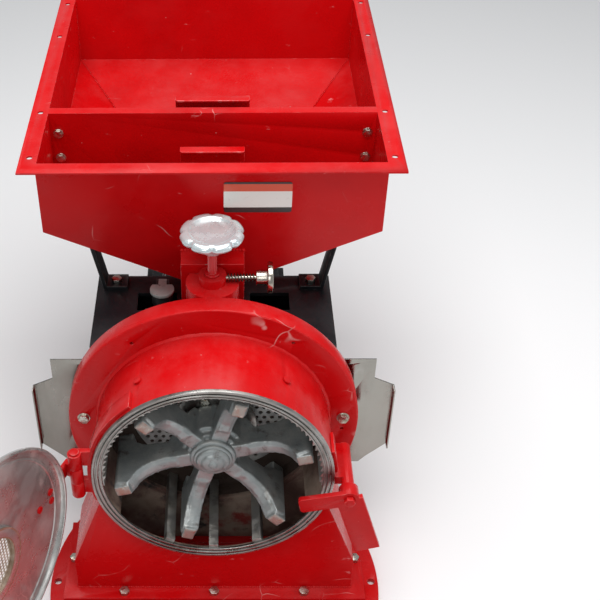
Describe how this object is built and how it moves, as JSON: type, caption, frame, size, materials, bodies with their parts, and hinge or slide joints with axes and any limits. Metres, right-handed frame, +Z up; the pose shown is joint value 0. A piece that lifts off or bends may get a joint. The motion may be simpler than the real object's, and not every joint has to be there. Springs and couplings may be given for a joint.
{
  "type": "pulverising mill",
  "caption": "Powered grain and spice pulveriser: drum with a beater rotor and hinged round door, divided feed hopper with gates and screw valve, direct motor drive.",
  "frame": {"origin": "centre of the round base plate's underside", "axes": "+Z up, -Y out through the door, shaft along Y"},
  "size_m": [0.5945, 1.0339, 0.601],
  "materials": {
    "red_paint": "gloss",
    "black_paint": "satin",
    "grey_paint": "semi-gloss",
    "machined_steel": "turned",
    "stainless": "polished",
    "stainless_dull": "brushed",
    "cast_metal": "as cast, worn bright",
    "zinc": "zinc plated",
    "chrome": "polished",
    "cup_metal": "dull",
    "rubber": "matt",
    "yellow_rubber": "matt",
    "black_plastic": "matt",
    "copper": "varnished",
    "label_face": "printed"
  },
  "bodies": {
    "frame": {"back_screen": "stainless_dull", "base_plate": "red_paint", "bearing_cover": "black_paint", "bearing_housing": "black_paint", "bearing_outer_rings": "chrome", "cabinet_sides": "black_paint", "cabinet_top": "black_paint", "cable_gland": "black_plastic", "chamber_drum": "red_paint", "discharge_housing": "red_paint", "divider_brackets": "red_paint", "door_seat": "machined_steel", "drum_brackets": "red_paint", "fan_cowl": "grey_paint", "feed_chute": "red_paint", "feed_column": "red_paint", "frame_bolts": "zinc", "front_panel": "stainless", "gate_guides": "red_paint", "grate_bars": "machined_steel", "hopper": "red_paint", "hopper_divider": "red_paint", "hopper_label": "label_face", "hopper_supports": "black_paint", "inspection_cap": "cup_metal", "liner": "cast_metal", "lock_spring": "zinc", "motor_body": "grey_paint", "motor_end_shields": "grey_paint", "motor_stator": "copper", "oil_cup": "black_paint", "pivot_pins": "zinc", "rear_flange": "red_paint", "shaft_seals": "rubber", "small_screws": "zinc", "stand_frame": "black_paint", "terminal_box": "grey_paint", "valve_body": "red_paint"},
    "rotor": {"rotor_casting": "cast_metal", "hub_nut": "cast_metal", "hub_disc": "machined_steel", "hub_disc_bolts": "zinc", "mill_shaft": "machined_steel", "bearing_inner_rings": "chrome", "coupling_mill_half": "machined_steel", "coupling_spider": "yellow_rubber", "coupling_motor_half": "machined_steel", "motor_shaft": "machined_steel", "motor_fan": "black_plastic"},
    "door": {"door_dish": "stainless_dull", "door_vent": "stainless_dull", "door_strap": "red_paint"},
    "latch": {"latch_lever": "red_paint"},
    "front_gate": {"front_gate": "red_paint"},
    "rear_gate": {"rear_gate": "red_paint"},
    "valve_screw": {"valve_spindle": "red_paint", "handwheel": "chrome"},
    "valve_plug": {"valve_plug": "machined_steel"},
    "lock_knob": {"lock_knob": "zinc"},
    "cup_lid": {"oil_cup_lid": "cup_metal"}
  },
  "joints": [
    {"name": "rotor_spin", "type": "hinge", "parent": "frame", "child": "rotor", "pos_m": [0, 0, 0.251], "axis": [0, 1, 0], "continuous": true},
    {"name": "door_swing", "type": "hinge", "parent": "frame", "child": "door", "pos_m": [-0.179, -0.014, 0.251], "axis": [0, 0, 1], "range_deg": [-40, 116]},
    {"name": "latch_turn", "type": "hinge", "parent": "frame", "child": "latch", "pos_m": [0.178, -0.04, 0.24], "axis": [0, 1, 0], "range_deg": [-100, 8]},
    {"name": "front_gate_lift", "type": "slide", "parent": "frame", "child": "front_gate", "axis": [0, 0, 1], "range_m": [0, 0.05]},
    {"name": "rear_gate_lift", "type": "slide", "parent": "frame", "child": "rear_gate", "axis": [0, 0, 1], "range_m": [0, 0.05]},
    {"name": "valve_turn", "type": "hinge", "parent": "frame", "child": "valve_screw", "pos_m": [0, 0.151, 0.5], "axis": [0, 0, 1], "range_deg": [-720, 1080]},
    {"name": "plug_travel", "type": "slide", "parent": "frame", "child": "valve_plug", "axis": [0, 0, 1], "range_m": [-0.0105, 0.0155]},
    {"name": "lock_turn", "type": "hinge", "parent": "frame", "child": "lock_knob", "pos_m": [0.06, 0.151, 0.455], "axis": [1, 0, 0], "range_deg": [-180, 180]},
    {"name": "cup_lid_lift", "type": "hinge", "parent": "frame", "child": "cup_lid", "pos_m": [-0.072, 0.246, 0.3753], "axis": [-1, 0, 0], "range_deg": [0, 100]}
  ],
  "couplings": [
    {"joint": "plug_travel", "follows": "valve_turn", "m_per_rad": 0.00079577}
  ]
}
